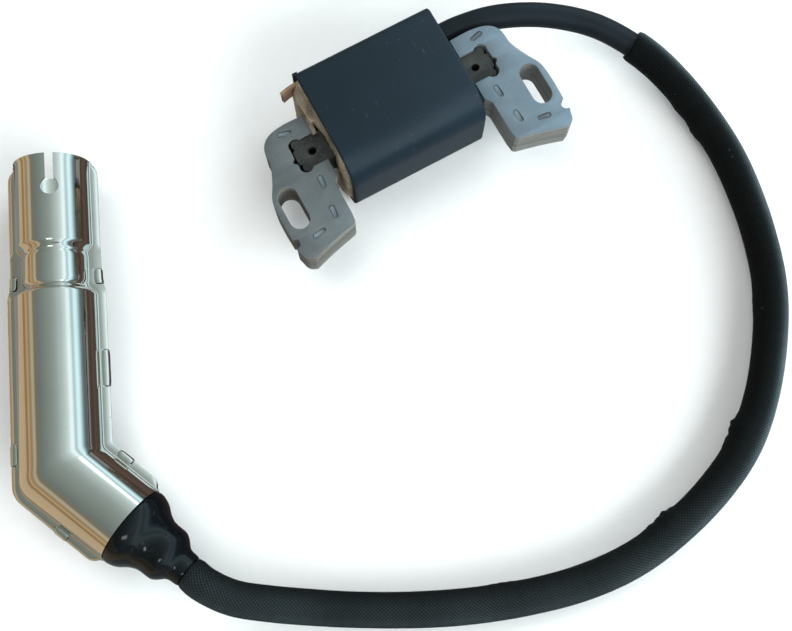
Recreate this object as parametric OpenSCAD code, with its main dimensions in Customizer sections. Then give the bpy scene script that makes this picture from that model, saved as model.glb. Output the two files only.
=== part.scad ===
// Magneto ignition coil for a small engine: a laminated core with a potted coil case on its crossbar,
// and a high-tension lead with a braided sleeve, a rubber boot and a metal shield for the spark plug.

/* [Laminated core] */
// Distance between the centres of the two mounting slots
slot_spacing = 78; // [76:0.5:82]
// Width of each mounting slot
slot_w = 5.8; // [5:0.1:6.4]
// Overall length of each mounting slot
slot_l = 13; // [11:0.5:14]
// Thickness of the two leg stacks
stack_t = 11; // [10.4:0.2:12]
// Thickness of the crossbar stack
bar_t = 9.4; // [9:0.2:9.8]
// Width of the crossbar
bar_w = 9.2; // [9:0.1:9.4]
// Radius of the flywheel rim that the pole faces follow
flywheel_r = 130; // [110:5:160]

/* [Coil case] */
// Length of the case along the crossbar
case_l = 42.8; // [42:0.2:44]
// Height of the case
case_h = 27; // [26.8:0.2:28]
// Distance from the slots' line to the front wall, towards the flywheel
case_front = 2.6; // [2.4:0.2:3.4]
// Distance from the slots' line to the back wall
case_back = 32.8; // [32.6:0.2:33.4]
// Wall thickness of the case
wall = 1.6; // [1.2:0.1:1.7]

/* [Lead] */
// Outer diameter of the high-tension lead
lead_d = 7.2; // [6.8:0.1:7.2]
// Diameter of the lead's conductor
conductor_d = 2.2; // [1.6:0.1:2.2]
// Outer diameter of the braided sleeve
sleeve_d = 9.9; // [9:0.1:10]

/* [Plug shield] */
// Direction of the shield's long leg, seen from above
shield_dir = 67; // [66:0.5:68]
// Angle that the elbow turns through
elbow_bend = 47; // [46:0.5:48]
// Outer radius of the shield's main tube
main_r = 11.4; // [11.2:0.1:11.5]
// Outer radius of the shield's neck
neck_r = 9.2; // [9.1:0.1:9.5]
// Outer radius of the shield's mouth
mouth_r = 10.6; // [10.3:0.1:10.8]
// Sheet thickness of the shield
sheet = 0.6; // [0.5:0.05:0.6]
// Length of the long leg, from the elbow to the mouth
shield_l = 87.6; // [85:0.2:90]
// Length of the short leg, from the elbow to its end
short_l = 24.2; // [23.8:0.2:25]

/* [Hidden] */
$fn = 64;
eps = 0.01;
past = 1;

// Core outline, measured from a slot's centre: x away from the case, y away from the flywheel
leg_inner_x = -15.2;
leg_back_y = 23.3;
tip_x = 1.4;
heel_x = -12.6;
heel_y = -12.1;
arc_steps = 10;
curve_steps = 5;
outer_curve = [
    [leg_inner_x, leg_back_y], [-8.2, 23.4], [-3.2, 22.2], [-0.6, 19.2], [-0.1, 14.4],
    [2, 9.2], [4.3, 4.6], [4.8, -1], [4.5, -7], [4.4, -12.4]
];
inner_edge = [
    [-13.3, -11.4], [-13.6, -9], [-13.7, 0.6], [-14.4, 1.8], [leg_inner_x, 2.6]
];
notch_at = [4.6, -9.4];
notch_r = 1.6;
bar_y = 12.9;
pocket_x = -6.9;
pocket_lobe = [-8.9, 3.5];
pocket_lobe_r = 2;
pocket_nick_r = 1.2;
bar_end_x = -7.9;
bar_lobe = [-9.3, 3.7];
bar_lobe_r = 1.5;
pin_hole_x = -12.5;
pin_hole_r = 1.2;
lance_l = 4.2;
lance_w = 1.6;
lance_depth = 0.7;
// Each lanced interlock: x, y and the direction of its long side
lances = [[-7.8, 20.9, 12], [-10.5, 3.1, 94], [-9.3, -6.2, 94], [-2.9, -9.8, -10]];

// Case section
front_top_r = 9.5;
front_low_r = 5;
back_r = 2.5;
case_x = case_l / 2;
core_z = case_h / 2;
resin_step = 0.4;
// Resin that stands proud of the open end: how far out, and its section
mound_x = 2.2;
mound_y = 19.4;
mound_z = [-10.5, 8];
mound_in = 0.3;

// Windings
bobbin_x = 16.8;
coil_gap = 0.15;
bobbin_wall = 0.9;
primary_h = 1.3;
secondary_h = 1.6;
partition_t = 1;
sections = 5;
flange_over = 0.35;

// Board and its parts, which stand on its back face
board = [27, 1.2, 18];
board_x = -18;
board_y = 23.6;
transistor = [10, 4.4, 9];
transistor_at = [-12, -4.5];
control_r = 2.3;
control_l = 4.6;
control_at = [2.2, 0];
resistor_r = 1.3;
resistor_l = 6.5;
resistor_at = [0.5, 5.6];
blade = [7.6, 0.8, 6.3];
blade_end_x = -25.6;
blade_y = 30.35;
blade_z = 4.3;
blade_hole_r = 0.9;
strap = [7, 1.8, 0.6];
strap_end_x = -24.2;
strap_y = 20.4;
strap_tail = [1.4, 4];

// Lead: where it leaves the case, and its socket inside
lead_y = 28;
socket_wall = 1.2;
socket_l = 10.4;
lead_start_x = 9.4;
spike_l = 4.4;
spike_r = 0.9;
spike_base_r = 3.2;
spike_base_t = 0.8;
lead_gap = 0.15;
lead_sides = 10;

// Shield and boot, along each leg from the elbow's corner
flange_t = 0.8;
flange_main = 13.8;
flange_mouth = 12.8;
shoulder_from = 47.5;
shoulder_to = 51;
neck_to = 60.5;
mouth_from = 62.5;
flange_round = 4;
key_w = 2.3;
key_hole_r = 2.5;
key_back = 9.6;
key_roll = 10;
tab_wrap = 0.5;
tab_in = 1.8;
// Folded tabs: side of the shield, middle along the leg, length
long_tabs = [[-1, 53.2, 3.6], [1, 53.4, 4], [1, 27, 10], [-1, 5, 6]];
short_tabs = [[-1, 10.5, 4], [1, 10, 4.6]];
bend_r = 12;
bend_lap = 1;
bend_fit = 0.05;
bend_steps = 8;
web = 1.4;
rubber_fit = 0.2;
rubber_end = 62.4;
plug_bore_r = 5.1;
clip_r = 3.8;
clip_t = 0.5;
clip_from = 33;
clip_to = 42;
clip_slit = 1.2;
rod_r = 1.2;
rod_fit = 0.05;
boot_gap = 0.1;
lead_end = 9.3;
pin_r = 0.95;
pin_end = 14;
conductor_end = 15;
boot_tip = 20;
boot_hole_r = 3.9;
// Boot outside the shield: distance past the shield's end, radius
boot_profile = [[0, 11.4], [3.6, 10.8], [5.4, 9.8], [7.4, 8.3], [9.4, 7.7], [13.2, 7.6], [15, 6.6],
    [16.4, 5.1], [17.4, 4.7], [boot_tip, 4.6]];

// The row's origin is under the middle of the coil unit
function rim_y(x) = sqrt(flywheel_r * flywheel_r - x * x);
function pole_y(x) = heel_y + rim_y(x + slot_spacing / 2) - rim_y(heel_x + slot_spacing / 2);
mid_y = (case_back + pole_y(tip_x)) / 2;

elbow_at = [-127.8, -42, main_r];
short_dir = shield_dir - 180 + elbow_bend;
bend_l = bend_r * tan(elbow_bend / 2);
function on_short(s) = elbow_at + s * [cos(short_dir), sin(short_dir), 0];
boot_end = short_l + boot_tip;
long_line = [[bend_l, main_r], [shoulder_from, main_r], [shoulder_to, neck_r], [neck_to, neck_r],
    [mouth_from, mouth_r], [shield_l, mouth_r]];
short_line = [[bend_l, main_r], [short_l, main_r]];

// Route of the lead's centre line, from its end in the case to its end in the boot
exit_y = lead_y - mid_y;
route = [
    [lead_start_x, exit_y, core_z], [case_x, exit_y, core_z], [30, 19.3, 13.5], [40, 17.6, 13.2],
    [50, 13.8, 12.4], [59, 8.6, 11.2], [67, 2, 9.6], [73, -6, 8], [77.5, -15, 6.6],
    [80.4, -26, 5.6], [81.8, -38, 5.1], [81.7, -50, 5], [80, -62, 5], [76.8, -75, 5],
    [71.5, -89, 5], [63.5, -102, 5], [53, -114.5, 5], [41, -124.5, 5], [27.5, -131, 5],
    [12.5, -135.2, 5], [-3, -137, 5], [-18.5, -135.6, 5], [-34, -131.6, 5], [-49, -126, 5],
    [-63, -119.4, 5], [-76, -112.2, 5.2], [-86, -106, 6.2], [-95, -100, 8], [-102.5, -94.2, 10],
    on_short(boot_end + 6), on_short(boot_end + 0.3), on_short(boot_end - 14), on_short(lead_end)
];
sleeve_from = 7;
sleeve_to = len(route) - 3;

function unit(v) = v / norm(v);
function heading(p, i) = unit(p[min(i + 1, len(p) - 1)] - p[max(i - 1, 0)]);
function side_of(t) = unit(cross([0, 0, 1], t));
function ring(p, i, r, sides) = [
    for (k = [0 : sides - 1])
        let (t = heading(p, i), a = 360 * (k + 0.5) / sides, s = side_of(t))
        p[i] + r * (cos(a) * s + sin(a) * cross(t, s))
];
function curve_point(p, i, t) =
    let (
        a = p[max(i - 1, 0)],
        b = p[i],
        c = p[i + 1],
        d = p[min(i + 2, len(p) - 1)]
    )
    0.5 * ((2 * b) + (c - a) * t + (2 * a - 5 * b + 4 * c - d) * t * t
        + (3 * b - a - 3 * c + d) * t * t * t);
function curve(p, steps) = concat(
    [for (i = [0 : len(p) - 2], k = [0 : steps - 1]) curve_point(p, i, k / steps)],
    [p[len(p) - 1]]
);

// A closed sweep with flat ends along p from point a to point b
module solid_sweep(p, a, b, r, sides) {
    points = [for (i = [a : b]) each ring(p, i, r, sides)];
    rings = b - a + 1;
    walls = [
        for (i = [0 : rings - 2], k = [0 : sides - 1])
            let (n = (k + 1) % sides)
            [i * sides + k, (i + 1) * sides + k, (i + 1) * sides + n, i * sides + n]
    ];
    first = [for (k = [0 : sides - 1]) k];
    last = [for (k = [sides - 1 : -1 : 0]) (rings - 1) * sides + k];
    polyhedron(points, concat(walls, [first, last]));
}

// The same sweep with a hole along it
module hollow_sweep(p, a, b, r_out, r_in, sides) {
    rings = b - a + 1;
    inner = rings * sides;
    points = concat(
        [for (i = [a : b]) each ring(p, i, r_out, sides)],
        [for (i = [a : b]) each ring(p, i, r_in, sides)]
    );
    outside = [
        for (i = [0 : rings - 2], k = [0 : sides - 1])
            let (n = (k + 1) % sides)
            [i * sides + k, (i + 1) * sides + k, (i + 1) * sides + n, i * sides + n]
    ];
    inside = [for (f = outside) [for (j = [3 : -1 : 0]) inner + f[j]]];
    ends = [
        for (e = [0, 1], k = [0 : sides - 1])
            let (
                n = (k + 1) % sides,
                o = e * (rings - 1) * sides,
                f = [o + k, o + n, inner + o + n, inner + o + k]
            )
            e == 0 ? f : [f[3], f[2], f[1], f[0]]
    ];
    polyhedron(points, concat(outside, inside, ends));
}

// Places what is drawn about the core's own middle plane and slot line
module on_core() {
    translate([0, -mid_y, core_z]) children();
}

module box_at(at, size, grow = 0) {
    translate(at - [grow, grow, grow]) cube(size + 2 * [grow, grow, grow]);
}

// A box centred on the crossbar, with half sizes across it
module bar_box(half_x, half_y, half_z) {
    translate([-half_x, bar_y - half_y, -half_z]) cube(2 * [half_x, half_y, half_z]);
}

module bar_tube(half_x, inner_y, inner_z, t) {
    difference() {
        bar_box(half_x, inner_y + t, inner_z + t);
        bar_box(half_x + past, inner_y, inner_z);
    }
}

// Leg stack, drawn at its slot's centre with x away from the case
module lance(x, y, turn) {
    translate([x, y, stack_t / 2]) rotate([90, 0, turn])
        linear_extrude(lance_w, center = true)
            polygon([[-lance_l / 2, eps], [lance_l / 2, eps], [lance_l / 4, -lance_depth],
                [-lance_l / 4, -lance_depth]]);
}

module core_leg() {
    pole = [
        for (k = [0 : arc_steps])
            let (x = tip_x + (heel_x - tip_x) * k / arc_steps)
            [x, pole_y(x)]
    ];
    tip = [[3.9, -14.2], [2.9, -15.3]];
    difference() {
        translate([0, 0, -stack_t / 2]) linear_extrude(stack_t)
            polygon(concat(curve(outer_curve, curve_steps), tip, pole, inner_edge));
        for (y = [-1, 1]) translate([0, y * (slot_l - slot_w) / 2, -stack_t])
            cylinder(d = slot_w, h = 2 * stack_t);
        box_at([-slot_w / 2, -(slot_l - slot_w) / 2, -stack_t], [slot_w, slot_l - slot_w, 2 * stack_t]);
        translate([notch_at[0], notch_at[1], -stack_t]) cylinder(r = notch_r, h = 2 * stack_t);
        box_at([leg_inner_x - past, bar_y - bar_w / 2, -stack_t],
            [pocket_x - leg_inner_x + past, bar_w, 2 * stack_t]);
        for (y = [-1, 1]) translate([pocket_lobe[0], bar_y + y * pocket_lobe[1], -stack_t])
            cylinder(r = pocket_lobe_r, h = 2 * stack_t);
        translate([pocket_x, bar_y, -stack_t]) cylinder(r = pocket_nick_r, h = 2 * stack_t);
        for (l = lances) lance(l[0], l[1], l[2]);
    }
}

module core_leg_left() {
    color([0.45, 0.47, 0.49]) on_core() mirror([1, 0, 0]) translate([slot_spacing / 2, 0, 0]) core_leg();
}

module core_leg_right() {
    color([0.5, 0.56, 0.61]) on_core() translate([slot_spacing / 2, 0, 0]) core_leg();
}

module core_crossbar() {
    half = slot_spacing / 2;
    color([0.28, 0.28, 0.28]) on_core() difference() {
        union() {
            bar_box(half + bar_end_x, bar_w / 2, bar_t / 2);
            for (x = [-1, 1], y = [-1, 1])
                translate([x * (half + bar_lobe[0]), bar_y + y * bar_lobe[1], -bar_t / 2])
                    cylinder(r = bar_lobe_r, h = bar_t);
        }
        for (x = [-1, 1]) translate([x * (half + pin_hole_x), bar_y, -bar_t])
            cylinder(r = pin_hole_r, h = 2 * bar_t);
    }
}

// Rounded section of the case in y and z, shrunk by t on every side
module case_section(t) {
    low = -core_z + t;
    high = core_z - t;
    front = -case_front + t;
    back = case_back - t;
    corners = [[front, high, front_top_r, -1, 1], [front, low, front_low_r, -1, -1],
        [back, high, back_r, 1, 1], [back, low, back_r, 1, -1]];
    difference() {
        translate([front, low]) square([back - front, high - low]);
        for (c = corners) let (r = c[2] - t) difference() {
            translate([c[0] - (c[3] < 0 ? eps : r - eps), c[1] - (c[4] < 0 ? eps : r - eps)])
                square(r);
            translate([c[0] - c[3] * r, c[1] - c[4] * r]) circle(r = r);
        }
    }
}

// Extrudes a y-z section along x from one x to the other
module along_x(from, to) {
    translate([from, 0, 0]) rotate([90, 0, 90]) linear_extrude(to - from) children();
}

module coil_case() {
    bar_hole = [wall + 2 * past, bar_w + 2 * coil_gap, bar_t + 2 * coil_gap];
    socket_r = lead_d / 2 + lead_gap;
    color([0.12, 0.16, 0.2]) on_core() difference() {
        union() {
            difference() {
                along_x(-case_x, case_x) case_section(0);
                along_x(-case_x - past, case_x - wall) case_section(wall);
            }
            intersection() {
                translate([case_x - wall - socket_l, lead_y, 0]) rotate([0, 90, 0])
                    cylinder(r = socket_r + socket_wall, h = socket_l + wall);
                along_x(-case_x, case_x) case_section(wall / 2);
            }
        }
        translate([case_x - wall - past, bar_y - bar_hole[1] / 2, -bar_hole[2] / 2]) cube(bar_hole);
        translate([case_x - wall - socket_l - past, lead_y, 0]) rotate([0, 90, 0])
            cylinder(r = socket_r, h = socket_l + wall + 2 * past);
    }
}

module potting_resin() {
    fit = 0.02;
    socket_r = lead_d / 2 + lead_gap + socket_wall + fit;
    pocket_z = bobbin_outer_z + fit;
    color([0.49, 0.44, 0.37]) on_core() difference() {
        union() {
            along_x(-case_x + resin_step, case_x - wall) case_section(wall);
            along_x(-case_x - mound_x, -case_x + 2 * resin_step) intersection() {
                case_section(wall + mound_in);
                translate([mound_y, mound_z[0]]) square([case_back, mound_z[1] - mound_z[0]]);
            }
        }
        bar_box(bobbin_x + fit, bobbin_outer_y + fit, pocket_z);
        bar_box(case_x + past, bar_w / 2 + fit, bar_t / 2 + fit);
        translate([lead_start_x - spike_base_t - fit, lead_y, 0]) rotate([0, 90, 0])
            cylinder(r = socket_r, h = case_x);
        board_solid(fit);
        transistor_solid(fit);
        control_solid(fit);
        resistor_solid(fit);
        blade_solid(fit, false);
        strap_solid(fit);
    }
}

// Half sizes of the nested windings across the bar, from the bar outwards
primary_in = [bar_w / 2 + coil_gap, bar_t / 2 + coil_gap];
primary_out = primary_in + (bobbin_wall + primary_h) * [1, 1];
secondary_in = primary_out + 2 * coil_gap * [1, 1];
secondary_out = secondary_in + (bobbin_wall + secondary_h) * [1, 1];
bobbin_outer_y = secondary_out[0] + flange_over;
bobbin_outer_z = secondary_out[1] + flange_over;

module primary_bobbin() {
    color([0.85, 0.82, 0.72]) on_core() {
        bar_tube(bobbin_x, primary_in[0], primary_in[1], bobbin_wall);
        for (x = [-1, 1]) translate([x * (bobbin_x - bobbin_wall / 2), 0, 0])
            bar_tube(bobbin_wall / 2, primary_in[0], primary_in[1], bobbin_wall + primary_h);
    }
}

module primary_winding() {
    color([0.72, 0.38, 0.2]) on_core()
        bar_tube(bobbin_x - bobbin_wall, primary_in[0] + bobbin_wall, primary_in[1] + bobbin_wall,
            primary_h);
}

module secondary_bobbin() {
    step = (2 * bobbin_x - partition_t) / sections;
    color([0.8, 0.8, 0.76]) on_core() {
        bar_tube(bobbin_x, secondary_in[0], secondary_in[1], bobbin_wall);
        for (k = [0 : sections])
            translate([-bobbin_x + partition_t / 2 + k * step, 0, 0])
                bar_tube(partition_t / 2, secondary_in[0], secondary_in[1],
                    bobbin_wall + secondary_h + flange_over);
    }
}

// One separate ring of wire in each section of the bobbin
module secondary_winding() {
    step = (2 * bobbin_x - partition_t) / sections;
    color([0.6, 0.28, 0.14]) on_core()
        for (k = [0 : sections - 1])
            translate([-bobbin_x + partition_t / 2 + (k + 0.5) * step, 0, 0])
                bar_tube((step - partition_t) / 2, secondary_in[0] + bobbin_wall,
                    secondary_in[1] + bobbin_wall, secondary_h);
}

module board_solid(grow = 0) {
    box_at([board_x, board_y, -board[2] / 2], board, grow);
}

module transistor_solid(grow = 0) {
    box_at([transistor_at[0], board_y + board[1], transistor_at[1]], transistor, grow);
}

module control_solid(grow = 0) {
    translate([control_at[0], board_y + board[1] + control_r, control_at[1] - control_l / 2 - grow])
        cylinder(r = control_r + grow, h = control_l + 2 * grow);
}

module resistor_solid(grow = 0) {
    translate([resistor_at[0] - grow, board_y + board[1] + resistor_r, resistor_at[1]])
        rotate([0, 90, 0]) cylinder(r = resistor_r + grow, h = resistor_l + 2 * grow);
}

// Flat blade outside the case, with a foot that reaches the board
module blade_solid(grow = 0, drilled = true) {
    foot_x = blade_end_x + blade[0];
    difference() {
        union() {
            box_at([blade_end_x, blade_y, blade_z], blade, grow);
            box_at([foot_x - blade[1], board_y + board[1], blade_z],
                [blade[1], blade_y + blade[1] - board_y - board[1], blade[2]], grow);
        }
        if (drilled) translate([blade_end_x + blade[2] / 3, blade_y - past, blade_z + blade[2] / 2])
            rotate([-90, 0, 0]) cylinder(r = blade_hole_r, h = blade[1] + 2 * past);
    }
}

// Strap with a tail on the left leg, which ends at the board's front face
module strap_solid(grow = 0) {
    box_at([strap_end_x, strap_y, stack_t / 2], strap, grow);
    box_at([strap_end_x, strap_y - strap_tail[1], stack_t / 2],
        [strap_tail[0], strap_tail[1] + eps, strap[2]], grow);
    box_at([strap_end_x + strap[0] - strap[1], strap_y, stack_t / 2],
        [strap[1], board_y - strap_y, strap[2]], grow);
}

module circuit_board() {
    color([0.16, 0.36, 0.22]) on_core() board_solid();
}

module power_transistor() {
    color([0.1, 0.1, 0.1]) on_core() transistor_solid();
}

module control_transistor() {
    color([0.13, 0.13, 0.13]) on_core() control_solid();
}

module bias_resistor() {
    color([0.72, 0.62, 0.45]) on_core() resistor_solid();
}

module kill_terminal() {
    color([0.42, 0.29, 0.2]) on_core() blade_solid();
}

module ground_strap() {
    color([0.6, 0.58, 0.52]) on_core() strap_solid();
}

module lead_spike() {
    color([0.75, 0.6, 0.3]) on_core() translate([lead_start_x, lead_y, 0]) rotate([0, 90, 0]) {
        translate([0, 0, -spike_base_t]) cylinder(r = spike_base_r, h = spike_base_t);
        cylinder(r = spike_r, h = spike_l);
    }
}

module hv_lead_jacket() {
    color([0.14, 0.18, 0.21])
        hollow_sweep(route, 0, len(route) - 1, lead_d / 2, conductor_d / 2 + rod_fit, lead_sides);
}

// Stops short of the spike in the case and of the pin in the boot
module hv_lead_conductor() {
    inside = [
        for (i = [0 : len(route) - 1])
            i == 0 ? route[0] + [spike_l + 0.4, 0, 0]
            : i == len(route) - 1 ? on_short(conductor_end) : route[i]
    ];
    color([0.72, 0.4, 0.22]) solid_sweep(inside, 0, len(inside) - 1, conductor_d / 2, lead_sides);
}

module braided_sleeve() {
    color([0.09, 0.1, 0.11])
        hollow_sweep(route, sleeve_from, sleeve_to, sleeve_d / 2, lead_d / 2 + lead_gap, lead_sides);
}

// Places what is drawn about the elbow's corner, with y along the shield's long leg
module on_elbow() {
    translate(elbow_at) rotate([0, 0, shield_dir - 90]) children();
}

// Turns y from the long leg to the short leg
module to_short() {
    rotate([0, 0, elbow_bend - 180]) children();
}

// Turns a closed section of distance and radius about the leg, all round or over its upper half
module turned(section) {
    rotate([-90, 0, 0]) rotate_extrude() polygon([for (p = section) [p[1], p[0]]]);
}

module turned_half(section) {
    rotate([-90, 0, 0]) rotate([0, 0, 180]) rotate_extrude(angle = 180)
        polygon([for (p = section) [p[1], p[0]]]);
}

// Sweeps a section, drawn about the tube's centre, round the elbow and a little into both legs
module round_bend() {
    translate([bend_r, bend_l, 0]) rotate([0, 0, 180 - bend_lap])
        rotate_extrude(angle = elbow_bend + 2 * bend_lap) translate([bend_r, 0]) children();
}

// A point beside the short leg, and one on the elbow's arc, in the seam's plane
function short_point(x, y) = [
    x * cos(elbow_bend - 180) - y * sin(elbow_bend - 180),
    x * sin(elbow_bend - 180) + y * cos(elbow_bend - 180)
];
function bend_point(r, k) =
    let (a = 180 + elbow_bend * k / bend_steps)
    [bend_r + r * cos(a), bend_l + r * sin(a)];

// A closed section between a line of distance and radius and the same line t further in
function sheet_section(line, t) = concat(
    line,
    [for (i = [len(line) - 1 : -1 : 0]) line[i] - [0, t]]
);

// A closed section between an outer and an inner line
function wall_section(outer, inner) = concat(
    outer,
    [for (i = [len(inner) - 1 : -1 : 0]) inner[i]]
);

module shield_shell() {
    turned_half(sheet_section(long_line, sheet));
    to_short() turned_half(sheet_section(short_line, sheet));
    round_bend() difference() {
        circle(r = main_r - bend_fit);
        circle(r = main_r - sheet + bend_fit);
        translate([-2 * main_r, -2 * main_r]) square([4 * main_r, 2 * main_r]);
    }
}

// Where the shield's hollow lies in the seam's plane, up to the middle of its wall
module hollow_outline() {
    mid = sheet / 2;
    polygon(concat(
        [[-(mouth_r - mid), shield_l + past]],
        [for (i = [len(long_line) - 1 : -1 : 1]) [-(long_line[i][1] - mid), long_line[i][0]]],
        [for (k = [0 : bend_steps]) bend_point(bend_r + main_r - mid, k)],
        [short_point(main_r - mid, short_l + past), short_point(mid - main_r, short_l + past)],
        [for (k = [bend_steps : -1 : 0]) bend_point(bend_r - main_r + mid, k)],
        [for (i = [1 : len(long_line) - 1]) [long_line[i][1] - mid, long_line[i][0]]],
        [[mouth_r - mid, shield_l + past]]
    ));
}

// Flat seam flanges on both sides of the shield, upwards from the seam
module seam_flange() {
    corner = flange_main * tan(elbow_bend / 2);
    narrow = flange_mouth - flange_round;
    linear_extrude(flange_t) difference() {
        union() {
            translate([-flange_main, 0]) square([2 * flange_main, shoulder_to]);
            translate([-flange_mouth, shoulder_to - past])
                square([2 * flange_mouth, shield_l - flange_round - shoulder_to + past]);
            translate([-narrow, shoulder_to]) square([2 * narrow, shield_l - shoulder_to]);
            for (x = [-1, 1]) translate([x * narrow, shield_l - flange_round]) circle(r = flange_round);
            circle(r = flange_main);
            rotate(elbow_bend - 180) {
                translate([-flange_main, 0]) square([2 * flange_main, short_l - flange_round]);
                translate([-flange_main + flange_round, 0])
                    square([2 * (flange_main - flange_round), short_l]);
                for (x = [-1, 1]) translate([x * (flange_main - flange_round), short_l - flange_round])
                    circle(r = flange_round);
            }
            polygon([[0, 0], [flange_main, corner + web], short_point(-flange_main, corner + web)]);
        }
        hollow_outline();
    }
}

module keyhole() {
    rotate([0, key_roll, 0]) {
        translate([-key_w / 2, shield_l - key_back, 0]) cube([key_w, key_back + past, 2 * mouth_r]);
        translate([0, shield_l - key_back, 0]) cylinder(r = key_hole_r, h = 2 * mouth_r);
    }
}

module shell_half() {
    shield_shell();
    seam_flange();
}

// A tab of the lower half, folded up round the flange's edge and over its top
module tab(side, middle, length, edge) {
    translate([side > 0 ? edge - tab_in : -edge - tab_wrap, middle - length / 2, 0])
        translate([0, 0, flange_t]) cube([tab_in + tab_wrap, length, tab_wrap]);
    translate([side > 0 ? edge : -edge - tab_wrap, middle - length / 2, -flange_t])
        cube([tab_wrap, length, 2 * flange_t + eps]);
}

module shield_upper_half() {
    color([0.72, 0.72, 0.7]) on_elbow() difference() {
        shell_half();
        keyhole();
    }
}

module shield_lower_half() {
    color([0.66, 0.67, 0.66]) on_elbow() {
        mirror([0, 0, 1]) shell_half();
        for (t = long_tabs)
            tab(t[0], t[1], t[2], t[1] > shoulder_to ? flange_mouth : flange_main);
        to_short() for (t = short_tabs) tab(-t[0], t[1], t[2], flange_main);
    }
}

module rubber_boot() {
    fill_r = main_r - sheet - rubber_fit;
    throat_r = neck_r - sheet - rubber_fit;
    hole_r = rod_r + rod_fit;
    long_outer = [[bend_l, fill_r], [shoulder_from - past, fill_r], [shoulder_to - past, throat_r],
        [rubber_end, throat_r]];
    long_inner = [[bend_l, hole_r], [clip_from - rod_fit, hole_r],
        [clip_from - rod_fit, clip_r + rod_fit], [clip_to + rod_fit, clip_r + rod_fit],
        [clip_to + rod_fit, plug_bore_r], [rubber_end, plug_bore_r]];
    short_outer = concat([[bend_l, fill_r], [short_l + boot_gap, fill_r]],
        [for (p = boot_profile) [p[0] + short_l + (p[0] == 0 ? boot_gap : 0), p[1]]]);
    short_inner = [[bend_l, hole_r], [lead_end - lead_gap, hole_r], [lead_end - lead_gap, boot_hole_r],
        [boot_end, boot_hole_r]];
    color([0.05, 0.07, 0.09]) on_elbow() {
        turned(wall_section(long_outer, long_inner));
        to_short() turned(wall_section(short_outer, short_inner));
        round_bend() difference() {
            circle(r = fill_r - bend_fit);
            circle(r = hole_r + bend_fit);
        }
    }
}

// Rod from the pin in the lead's end, round the elbow, to the plug clip
module contact_rod() {
    step_at = lead_end - lead_gap;
    color([0.76, 0.62, 0.32]) on_elbow() {
        turned([[bend_l, 0], [bend_l, rod_r], [clip_from, rod_r], [clip_from, 0]]);
        to_short() turned([[bend_l, 0], [bend_l, rod_r], [step_at, rod_r], [step_at, pin_r],
            [pin_end, pin_r], [pin_end, 0]]);
        round_bend() circle(r = rod_r - bend_fit);
    }
}

// Split spring cup that grips the plug's terminal
module plug_clip() {
    bore_r = clip_r - clip_t;
    color([0.7, 0.66, 0.5]) on_elbow() difference() {
        turned([[clip_from, 0], [clip_from, clip_r], [clip_to, clip_r], [clip_to, bore_r],
            [clip_from + clip_t, bore_r], [clip_from + clip_t, 0]]);
        translate([-clip_slit / 2, clip_from + 2 * clip_t, 0]) cube([clip_slit, clip_to, 2 * clip_r]);
    }
}

coil_case();
potting_resin();
core_leg_left();
core_leg_right();
core_crossbar();
primary_bobbin();
primary_winding();
secondary_bobbin();
secondary_winding();
circuit_board();
power_transistor();
control_transistor();
bias_resistor();
kill_terminal();
ground_strap();
lead_spike();
hv_lead_jacket();
hv_lead_conductor();
braided_sleeve();
rubber_boot();
shield_upper_half();
shield_lower_half();
contact_rod();
plug_clip();
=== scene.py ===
import math

import bmesh
import bpy
import numpy as np
from mathutils import Matrix, Vector


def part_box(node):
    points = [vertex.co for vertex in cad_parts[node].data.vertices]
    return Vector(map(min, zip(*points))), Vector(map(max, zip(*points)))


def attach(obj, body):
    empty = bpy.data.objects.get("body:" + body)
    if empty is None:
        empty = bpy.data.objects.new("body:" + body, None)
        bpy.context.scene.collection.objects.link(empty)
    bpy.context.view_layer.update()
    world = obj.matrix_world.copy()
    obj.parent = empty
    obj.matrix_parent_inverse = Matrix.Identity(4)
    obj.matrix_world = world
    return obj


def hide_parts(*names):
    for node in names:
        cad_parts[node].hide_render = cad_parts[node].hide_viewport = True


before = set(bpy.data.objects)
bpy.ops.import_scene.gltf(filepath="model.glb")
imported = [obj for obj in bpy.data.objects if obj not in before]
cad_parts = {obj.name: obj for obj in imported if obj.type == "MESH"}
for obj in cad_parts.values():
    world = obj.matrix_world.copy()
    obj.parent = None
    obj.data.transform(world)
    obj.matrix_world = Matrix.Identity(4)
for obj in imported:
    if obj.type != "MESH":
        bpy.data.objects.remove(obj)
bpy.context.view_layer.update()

MM = 0.001
UP = np.array([0.0, 0.0, 1.0])

# Measures of the coil unit, in millimetres, the same as in the part's source
SLOT_SPACING, SLOT_W, SLOT_L = 78.0, 5.8, 13.0
STACK_T, BAR_T, BAR_W = 11.0, 9.4, 9.2
CASE_L, CASE_H, CASE_FRONT, CASE_BACK, WALL = 42.8, 27.0, 2.6, 32.8, 1.6
FRONT_TOP_R, FRONT_LOW_R, BACK_R = 9.5, 5.0, 2.5
BAR_Y, LEAD_Y = 12.9, 28.0
CORE_Z = CASE_H / 2
FLYWHEEL_R = 130.0
MID_Y = CASE_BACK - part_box("coil_case")[1][1] / MM

# Measures of the lead and of the shield
LEAD_R, SLEEVE_R = 3.6, 4.95
MAIN_R, NECK_R, MOUTH_R, SHEET = 11.4, 9.2, 10.6, 0.6
SHIELD_L, SHORT_L = 87.6, 24.2
BEND = math.radians(47)
FLANGE_T, FLANGE_MAIN, FLANGE_MOUTH, FLANGE_ROUND = 0.8, 13.8, 12.8, 4.0
SHIELD_DIR = math.radians(67)
ELBOW = np.array([-127.8, -42.0, MAIN_R])
BOOT_TIP = 20.0

# ---------------------------------------------------------------- camera

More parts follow.
